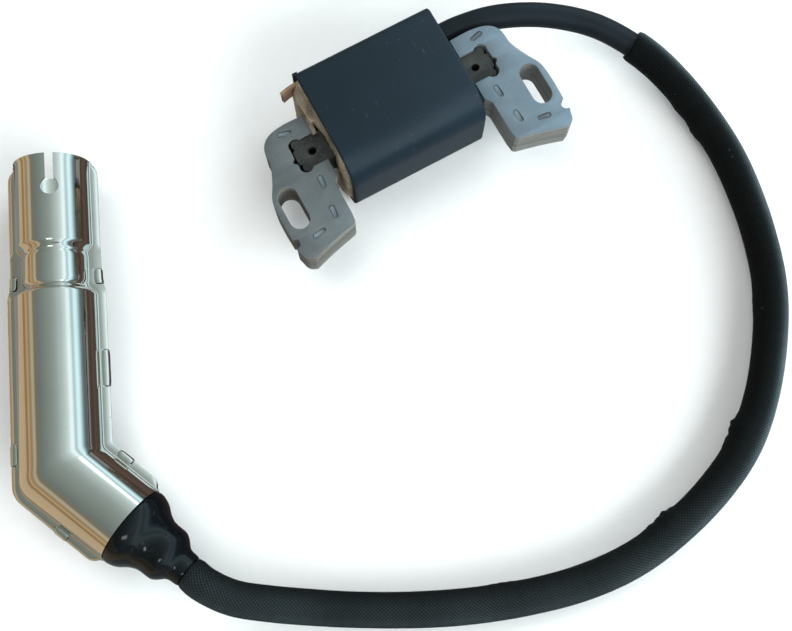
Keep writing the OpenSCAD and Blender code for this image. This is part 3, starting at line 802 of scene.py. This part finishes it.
# The boot fills the shield and comes out of its short leg in steps
FILL_R, THROAT_R, ROD_R = MAIN_R - SHEET - 0.2, NECK_R - SHEET - 0.2, 1.25
rubber_profile = [(long_q(62.3), THROAT_R - 0.3), (long_q(62.0), THROAT_R), (long_q(50), THROAT_R),
                  (long_q(46.5), FILL_R), (short_q(SHORT_L + 0.1), FILL_R)]
outside = [(0.12, 10.9), (0.3, 11.3), (1.0, 11.45), (2.2, 11.3), (3.6, 10.85), (4.8, 10.2),
           (5.8, 9.4), (6.8, 8.7), (7.8, 8.2), (8.8, 7.85), (10, 7.7), (12.4, 7.68), (13.3, 7.55),
           (14, 7.2), (14.8, 6.65), (15.6, 5.9), (16.2, 5.3), (16.8, 4.95), (17.6, 4.75),
           (19.4, 4.65), (19.9, 4.5), (20, 4.3)]
rubber_profile += [(short_q(SHORT_L + s), r) for s, r in outside]
hollow = [(short_q(BOOT_END), 3.75), (short_q(9.0), 3.75), (short_q(8.99), ROD_R),
          (long_q(32.9), ROD_R), (long_q(32.95), 3.85), (long_q(42), 3.85), (long_q(42.05), 5.1),
          (long_q(62.1), 5.1), (long_q(62.3), 5.4)]


def filled_in(profile, step):
    """Adds stations to a profile, so that it follows the elbow."""
    out = []
    for (q0, r0), (q1, r1) in zip(profile, profile[1:]):
        n = max(1, round(abs(q1 - q0) / step))
        out += [(q0 + (q1 - q0) * k / n, r0 + (r1 - r0) * k / n) for k in range(n)]
    return out + [profile[-1]]


rubber_rings = []
for q, r in filled_in(rubber_profile, 1.6) + filled_in(hollow, 1.6):
    rubber_rings.append(shell_rings([q], lambda _, r=r: r, 0, 360 * 71 / 72, 71)[0])
verts, faces = loft(rubber_rings, closed_run=True)
rubber = piece("plug_boot", at_elbow(verts), faces, "boot", "boot_rubber", boot_finish(),
               ("rubber_boot",), 32)

# ---------------------------------------------------------------- core

HEEL_X, HEEL_Y, TIP_X = -12.6, -12.1, 1.4


def rim(x):
    """How far the flywheel's rim reaches at x from a slot's middle."""
    return math.sqrt(FLYWHEEL_R ** 2 - (x + SLOT_SPACING / 2) ** 2)


def pole_y(x):
    return HEEL_Y + rim(x) - rim(HEEL_X)


outer_points = [(-15.2, 23.3), (-8.2, 23.4), (-3.2, 22.2), (-0.6, 19.2), (-0.1, 14.4), (2, 9.2),
                (4.3, 4.6), (4.8, -1), (4.6, -7.6)]
leg_outer = [tuple(p) for p in spline(outer_points, outer_points[0], outer_points[-1], 7)]
notch = arc(4.6, -9.4, 1.6, 95, 275, 12)
leg_tip = [(4.3, -12.4), (4.05, -13.6), (3.6, -14.5), (2.9, -15.2)]
pole = [(x, pole_y(x)) for x in np.linspace(TIP_X, HEEL_X, 14)]
leg_inner = [(-13.3, -11.4), (-13.6, -9), (-13.7, 0.6), (-14.0, 1.3), (-14.4, 1.8), (-15.2, 2.6)]
POCKET_X, POCKET_Y, POCKET_R, POCKET_SIDE = -8.9, 3.5, 2.0, BAR_W / 2
pocket = [(-15.2, BAR_Y - POCKET_SIDE), (-10.6, BAR_Y - POCKET_SIDE)]
pocket += arc(POCKET_X, BAR_Y - POCKET_Y, POCKET_R, 213, 380, 12)
pocket += arc(-7.0, BAR_Y - 0.9, 0.95, -80, 80, 8)
pocket += arc(POCKET_X, BAR_Y + POCKET_Y, POCKET_R, -20, 147, 12)
pocket += [(-10.6, BAR_Y + POCKET_SIDE), (-15.2, BAR_Y + POCKET_SIDE)]
leg_outline = leg_outer + notch + leg_tip + pole + leg_inner + pocket
slot_hole = arc(0, (SLOT_L - SLOT_W) / 2, SLOT_W / 2, 0, 180, 16)
slot_hole += arc(0, -(SLOT_L - SLOT_W) / 2, SLOT_W / 2, 180, 360, 16)
LANCES = [(-7.8, 20.9, 12), (-10.5, 3.1, 94), (-9.3, -6.2, 94), (-2.9, -9.8, -10)]
SHEETS = 22
jitter = np.random.default_rng(4)


def lance(x, y, turned, sign, grow, levels):
    """A stadium on a leg's face at each level: height, and how far its ends slope."""
    a = math.radians(turned)
    rings = []
    for z, slope in levels:
        ring = []
        for px, py in arc(1.3, 0, 0.8 + grow, -90, 90, 10) + arc(-1.3, 0, 0.8 + grow, 90, 270, 10):
            height = STACK_T / 2 + z + slope * px / 2.1
            ring.append(((x + px * math.cos(a) - py * math.sin(a) + SLOT_SPACING / 2) * sign,
                         y + px * math.sin(a) + py * math.cos(a), height))
        rings.append(ring)
    return loft(rings)


def lamination_stack(name, outlines, thickness, sheets, sign, shift):
    """Sheets of steel, each a hair out of line with the next."""
    pitch = thickness / sheets
    meshes = []
    for k in range(sheets):
        low = -thickness / 2 + k * pitch
        outer_sheet = k in (0, sheets - 1)
        mesh = plate(name, outlines, low + 0.012, low + pitch - 0.012, 0.07 if outer_sheet else 0.03)
        off = jitter.uniform(-0.035, 0.035, 2) * (0.3 if outer_sheet else 1.0)
        mesh.transform(Matrix.Translation((off[0] * MM, off[1] * MM, 0)))
        if sign < 0:
            mesh.transform(Matrix.Scale(-1, 4, (1, 0, 0)))
            mesh.flip_normals()
        mesh.transform(Matrix.Translation((shift * MM, 0, 0)))
        meshes.append(mesh)
    return meshes


# The lance tongues in a lighter copy of the legs' steel.
worn = leg_finish("worn_steel", colour(104, 113, 120), colour(146, 157, 165))
# Both legs are the same steel, painted in two tones: the right leg's face lighter and bluer and the left's
# greyer, as painted light that each leg catches.
for sign, name, face, shade in ((-1, "core_leg_left", colour(112, 118, 122), colour(132, 138, 140)),
                                (1, "core_leg_right", colour(122, 139, 153), colour(142, 158, 170))):
    sheets = lamination_stack(name, [leg_outline, slot_hole], STACK_T, SHEETS, sign,
                              sign * SLOT_SPACING / 2)
    steel = leg_finish(name + "_steel", face, shade)
    top = joined(name + "_top", sheets[-2:])
    bpy.context.scene.collection.objects.link(top)
    cut(top, [loose("lance", *lance(x, y, a, sign, 0, ((-0.8, 0), (0.5, 0)))) for x, y, a in LANCES])
    rest = joined(name + "_sheets", sheets[:-2])
    tongues = [mesh_of("tongue", *lance(x, y, a, sign, -0.22, ((-0.95, 0), (-0.5, 0.4), (-0.36, 0.4))))
               for x, y, a in LANCES]
    dress(on_core(joined(name + "_lances", tongues)), "root", worn, (), 30)
    dress(on_core(top), "root", steel, (name,), 30)
    dress(on_core(rest), "root", steel, (), 30)

# One end of the crossbar, which half a turn makes the other end
bar_tip, lobe_x = SLOT_SPACING / 2 - 7.3, SLOT_SPACING / 2 - 9.3
LOBE_Y, LOBE_R, BAR_FLAT = 3.7, 1.5, 1.9
bar_end = [(lobe_x - 2.2, -BAR_W / 2)] + arc(lobe_x, -LOBE_Y, LOBE_R, -120, 48, 10)
bar_end += [(bar_tip, -BAR_FLAT), (bar_tip, BAR_FLAT)]
bar_end += arc(lobe_x, LOBE_Y, LOBE_R, -48, 120, 10) + [(lobe_x - 2.2, BAR_W / 2)]
bar_outline = [(half_turn * x, half_turn * y + BAR_Y) for half_turn in (1, -1) for x, y in bar_end]
pins = [arc(sx * 26.5, BAR_Y, 1.2, 0, 345, 23) for sx in (-1, 1)]
bar_sheets = lamination_stack("core_bar", [bar_outline] + pins, BAR_T, 19, 1, 0)
# Dark sheets of the bar's steel close the bottom of the gaps round the bar's ends: painted shade where the
# gaps are only in shadow.
for sx in (1, -1):
    shade_fill = [(sx * (x + SLOT_SPACING / 2), y) for x, y in pocket]
    bar_sheets.append(plate("core_shade_fill", [shade_fill], -BAR_T / 2 + 0.02, -BAR_T / 2 + 1.0, 0.03))
bar = on_core(joined("core_bar", bar_sheets))
dress(bar, "root", bar_finish(), ("core_crossbar",), 30)

# ---------------------------------------------------------------- case and what shows at its ends


def case_section(inset, steps=18):
    """The case's outline in y and z."""
    low, high = -CORE_Z + inset, CORE_Z - inset
    front, back = -CASE_FRONT + inset, CASE_BACK - inset
    top_r, low_r, far_r = (max(0.3, r - inset) for r in (FRONT_TOP_R, FRONT_LOW_R, BACK_R))
    return (arc(front + top_r, high - top_r, top_r, 180, 90, steps)
            + arc(back - far_r, high - far_r, far_r, 90, 0, 8)
            + arc(back - far_r, low + far_r, far_r, 0, -90, 8)
            + arc(front + low_r, low + low_r, low_r, 270, 180, 12))


def along_x(mesh):
    """Turns a plate from x, y and z to y, z and x."""
    mesh.transform(Matrix(((0, 0, 1, 0), (1, 0, 0, 0), (0, 1, 0, 0), (0, 0, 0, 1))))
    return mesh


half_case = CASE_L / 2
LEAD_WAY_R, COLLAR_R, COLLAR_BORE_R = 3.75, 4.6, 3.7
BAR_WAY_Y, BAR_WAY_Z = 4.75, 4.85
shell = along_x(plate("case_shell", [case_section(0), case_section(WALL)[::-1]], -half_case, half_case,
                      0.6, 3))
bar_way = [(BAR_Y + y * BAR_WAY_Y, z * BAR_WAY_Z) for y, z in ((-1, -1), (1, -1), (1, 1), (-1, 1))]
lead_way = arc(LEAD_Y, 0, LEAD_WAY_R, 0, 350, 35)
end_wall = along_x(plate("case_wall", [case_section(WALL - 0.25), bar_way, lead_way],
                         half_case - WALL, half_case - 0.22, 0.15, 2))
collar_edges = [arc(LEAD_Y, 0, r, 0, 352, 44) for r in (COLLAR_R, COLLAR_BORE_R)]
collar = along_x(plate("case_collar", collar_edges,
                       half_case - 1.0, half_case - 0.02, 0.2, 2))
rib = mesh_of("case_rib", *block((-half_case - 0.5, CASE_BACK - 0.8, CORE_Z - 7.0),
                                 (-half_case + 1.0, CASE_BACK, CORE_Z - 0.9)))
coil_case = on_core(joined("case", [shell, end_wall, collar, rib]))
dress(coil_case, "root", case_finish(), ("coil_case",), 32)

resin_material = resin_finish()
# Resin at the open end: it stands proud behind the core, with lumps, a rim and the weave of a tape
outline = np.array(case_section(WALL - 0.25, 30))
centre = np.array([21.5, 0.0])


def hump(value, low, high, soft):
    return 1 / (1 + math.exp(-(value - low) / soft)) / (1 + math.exp((value - high) / soft))


rings = [[(-half_case + 1.4, y, z) for y, z in outline]]
for level in np.linspace(0, 1, 60):
    ring = []
    for y, z in centre + (outline - centre) * (1 - 0.985 * level):
        proud = 2.75 * hump(y, 19.6, 31.5, 0.45) * hump(z, -12.0, 9.5, 0.8) + 1.1 * hump(y, 0.5, 5.5, 0.7)
        lump = 0.26 * math.sin(y * 0.9 + 1.3) * math.sin(z * 0.7) + 0.1 * math.sin(y * 2.7 + z * 1.9)
        weave = 0.07 * math.sin(y * 4.8) * math.sin(z * 4.8) * hump(y, 20.5, 30.5, 0.4)
        away = min(1.0, level * 14)
        ring.append((-half_case + 0.25 - away * (proud + (lump + 0.3) * 0.8 + weave), y, z))
    rings.append(ring)
resin_verts, resin_faces = loft(np.array(rings))
resin_skin = piece("resin_face", resin_verts, resin_faces, "root", "potting", resin_material, (), 60)
on_core(resin_skin)


def bent_strip(name, path, width, thickness, body, slot, material, stands_for, ragged=0.0, side=None):
    """A strip of metal along a path, with softened edges; side is the direction across it."""
    path = np.array(path, dtype=float)
    fine_path = smooth_line(path, 0.35, 12)
    along = np.gradient(fine_path, axis=0)
    along /= np.linalg.norm(along, axis=1)[:, None]
    across = np.array(side, dtype=float)
    rings = []
    for k, (p, t) in enumerate(zip(fine_path, along)):
        n = np.cross(t, across)
        n /= np.linalg.norm(n)
        w, h = width / 2, thickness / 2
        bite = ragged * max(0.0, 1 - k / 6.0)
        b = min(0.14, h * 0.6)
        section = [(-w + b, -h), (w - b, -h), (w, -h + b), (w, h - b), (w - b, h), (-w + b, h),
                   (-w, h - b), (-w, -h + b)]
        ring = []
        for u, v in section:
            torn = bite * (math.sin(u * 3.1 + 0.7) * 0.6 + math.sin(u * 7.3) * 0.3)
            ring.append(p + across * u + n * v + t * torn)
        rings.append(ring)
    verts, faces = loft(rings)
    return on_core(piece(name, verts, faces, body, slot, material, stands_for, 40))


tarnish = metal_finish("terminal_metal", colour(128, 98, 76), colour(190, 160, 134), 0.4, 0.6, 500)
tin = metal_finish("strap_metal", colour(142, 132, 116), colour(188, 180, 162), 0.34, 0.8, 500)
blade_y, blade_mid = 30.75, 7.45
bent_strip("stop_blade", [(-26.6, blade_y - 0.75, blade_mid), (-24.4, blade_y - 0.25, blade_mid),
                          (-22, blade_y, blade_mid), (-19.4, blade_y, blade_mid),
                          (-18.45, blade_y - 0.5, blade_mid), (-18.35, blade_y - 1.6, blade_mid),
                          (-18.35, 25.0, blade_mid)],
           6.3, 0.8, "root", "terminal_metal", tarnish, ("kill_terminal",), 0.9, (0, 0, 1))
bent_strip("earth_strap", [(-23.6, 16.5, 5.85), (-23.5, 18.4, 5.9), (-23.45, 20.4, 5.95),
                           (-23.3, 21.6, 6.0), (-23.2, 22.4, 6.0)],
           1.3, 0.55, "root", "strap_metal", tin, ("ground_strap",), 0.35, (1, 0, 0))

# ---------------------------------------------------------------- pieces inside, and the metal ones

brass = metal_finish("contact_brass", colour(176, 138, 70), colour(222, 186, 110), 0.22)
winding = winding_finish()
package = plastic_finish("package_plastic", colour(18, 18, 19), colour(34, 34, 35), 0.45)
bobbin = plastic_finish("bobbin_plastic", colour(204, 198, 178), colour(224, 220, 204), 0.4)
inside = {
    "potting_resin": resin_material,
    "primary_bobbin": bobbin,
    "secondary_bobbin": bobbin,
    "primary_winding": winding,
    "secondary_winding": winding,
    "circuit_board": plastic_finish("board_laminate", colour(30, 82, 48), colour(46, 106, 66), 0.35),
    "power_transistor": package,
    "control_transistor": package,
    "bias_resistor": plastic_finish("resistor_body", colour(182, 150, 104), colour(208, 180, 138), 0.3),
    "lead_spike": brass,
    "contact_rod": brass,
    "plug_clip": metal_finish("clip_spring", colour(170, 160, 132), colour(208, 200, 174), 0.2),
    "hv_lead_conductor": winding,
}
for node, material in inside.items():
    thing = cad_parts[node]
    for place in thing.material_slots:
        place.material = material

# ---------------------------------------------------------------- floor, light and what the metal mirrors


def staged(thing, camera_sees, mirrored, lit):
    bpy.context.scene.collection.objects.link(thing)
    thing.visible_camera, thing.visible_glossy = camera_sees, mirrored
    thing.visible_diffuse = thing.visible_shadow = lit
    thing.visible_transmission = False


def card(name, corners, material, camera_sees=False, mirrored=True, lit=False):
    mesh = bpy.data.meshes.new(name)
    mesh.from_pydata([Vector(c) for c in corners], [], [(0, 1, 2, 3)])
    run = mesh.uv_layers.new(name="run")
    for loop, uv in zip(run.data, ((0, 0), (1, 0), (1, 1), (0, 1))):
        loop.uv = uv
    mesh.materials.append(material)
    staged(bpy.data.objects.new(name, mesh), camera_sees, mirrored, lit)


paper = Finish("paper")
fibres = paper.noise(320, 3)
paper.set(Base_Color=paper.mix(fibres, (0.86, 0.86, 0.855, 1), (0.9, 0.9, 0.895, 1)), Roughness=0.85)
FLOOR_Z = -0.0002


def on_bench(from_x, to_x, half_y):
    """The corners of a card that lies on the floor."""
    corners = ((from_x, -half_y), (to_x, -half_y), (to_x, half_y), (from_x, half_y))
    return [(x, y, FLOOR_Z) for x, y in corners]


card("floor", on_bench(-3, 3, 3), paper.material, True, False, True)
# Glowing cards seen only in reflections: painted reflections of the bench, dark wood and a pale stretch
# further left.
card("bench_mirror", on_bench(-0.116, -0.02, 0.4), bench_reflection_finish())
card("pale_bench_reflection", on_bench(-0.9, -0.15, 0.6),
     glow("pale_bench_reflection", 1.3, [(0.0, colour(150, 128, 98)), (1.0, colour(178, 158, 128))]))

# The room as the bright metal sees it: an arch along the shield's long leg. Each stop is an angle
# from upright, positive to the leg's right, and the colour that the metal shows there.
leg = np.array([math.cos(SHIELD_DIR), math.sin(SHIELD_DIR), 0.0])
across_leg = np.array([math.sin(SHIELD_DIR), -math.cos(SHIELD_DIR), 0.0])
middle_leg = (ELBOW + leg * 45) * MM
FROM_ANGLE, TO_ANGLE, ARCH_R, REACH = -98.0, 91.0, 1.8, 4.0
ROOM = [(-98, (178, 158, 124)), (-93, (176, 154, 120)), (-89, (132, 110, 78)), (-83, (136, 113, 80)),
        (-79, (176, 152, 116)), (-73, (150, 126, 92)), (-68, (142, 120, 88)), (-63, (166, 158, 138)),
        (-57, (160, 152, 132)), (-53, (118, 108, 84)), (-48, (108, 110, 101)), (-38, (104, 113, 111)),
        (-22, (116, 127, 123)), (-5, (129, 141, 138)), (6, (142, 155, 153)), (14, (158, 171, 171)),
        (24, (172, 188, 188)), (34, (194, 212, 214)), (42, (226, 247, 251)), (47, (222, 242, 247)),
        (52, (172, 197, 204)), (56, (176, 202, 209)), (61, (210, 243, 252)), (67, (206, 238, 247)),
        (72, (168, 200, 208)), (78, (112, 132, 138)), (84, (84, 94, 98)), (91, (96, 92, 88))]
room_glow = glow("room_arch", 1.38, [((a - FROM_ANGLE) / (TO_ANGLE - FROM_ANGLE), colour(*c))
                                     for a, c in ROOM])
mesh = bpy.data.meshes.new("room_arch")
SLICES = 63
bows, arch_faces = [], []
for k in range(SLICES + 1):
    a = math.radians(FROM_ANGLE + (TO_ANGLE - FROM_ANGLE) * k / SLICES)
    rib = middle_leg + ARCH_R * (math.sin(a) * across_leg + math.cos(a) * UP)
    bows += [tuple(rib - leg * REACH), tuple(rib + leg * REACH)]
for k in range(SLICES):
    arch_faces.append((2 * k, 2 * k + 1, 2 * k + 3, 2 * k + 2))
mesh.from_pydata(bows, [], arch_faces)
layer = mesh.uv_layers.new(name="run")
for loop, uv in zip(mesh.loops, layer.data):
    uv.uv = ((loop.vertex_index // 2) / SLICES, loop.vertex_index % 2)
mesh.materials.append(room_glow)
staged(bpy.data.objects.new("room_arch", mesh), False, True, False)


def on_arch(angle, along, radius):
    """A place under the arch, by its angle from upright and its distance along the leg."""
    angle = math.radians(angle)
    return tuple(middle_leg + radius * (math.sin(angle) * across_leg + math.cos(angle) * UP) + along * leg)


card("far_window", [on_arch(30, 1.9, 1.75), on_arch(52, 1.9, 1.75), on_arch(52, 2.7, 1.75),
                    on_arch(30, 2.7, 1.75)], glow("far_window", 2.6, [
        (0.0, colour(136, 148, 149)), (0.4, colour(208, 219, 223)), (0.62, colour(208, 219, 223)),
        (1.0, colour(129, 150, 155))]))
card("lamp_glint", [on_arch(-12, -1.6, 1.7), on_arch(6, -1.6, 1.7), on_arch(6, -1.15, 1.7),
                    on_arch(-12, -1.15, 1.7)], glow("lamp_glint", 6.0))

world = bpy.data.worlds.new("room")
world.use_nodes = True
bpy.context.scene.world = world
back = world.node_tree.nodes["Background"]
back.inputs["Color"].default_value = (0.86, 0.93, 0.92, 1.0)
back.inputs["Strength"].default_value = 0.3


def soft_light(name, at, target, size, power, tint=(1, 1, 1), mirrored=False):
    lamp = bpy.data.lights.new(name, "AREA")
    lamp.shape, lamp.size, lamp.size_y, lamp.energy, lamp.color = "RECTANGLE", size[0], size[1], power, tint
    thing = bpy.data.objects.new(name, lamp)
    thing.location = at
    thing.rotation_euler = (Vector(target) - Vector(at)).to_track_quat("-Z", "Y").to_euler()
    thing.visible_glossy = mirrored
    bpy.context.scene.collection.objects.link(thing)


soft_light("key", (0.45, -1.2, 0.75), (0, 0, 0), (1.5, 0.8), 26, (0.93, 0.98, 1.0))
soft_light("fill", (-0.3, 0.8, 1.4), (0, 0, 0), (1.6, 1.2), 14, (1.0, 0.99, 0.98))
soft_light("side", (1.4, 0.3, 0.4), (0, 0, 0), (1.4, 0.6), 34, (0.86, 0.97, 1.0))
soft_light("low_front", (0.2, -1.4, 0.3), (0, 0, 0.02), (1.4, 0.5), 13, (0.85, 0.98, 1.0))
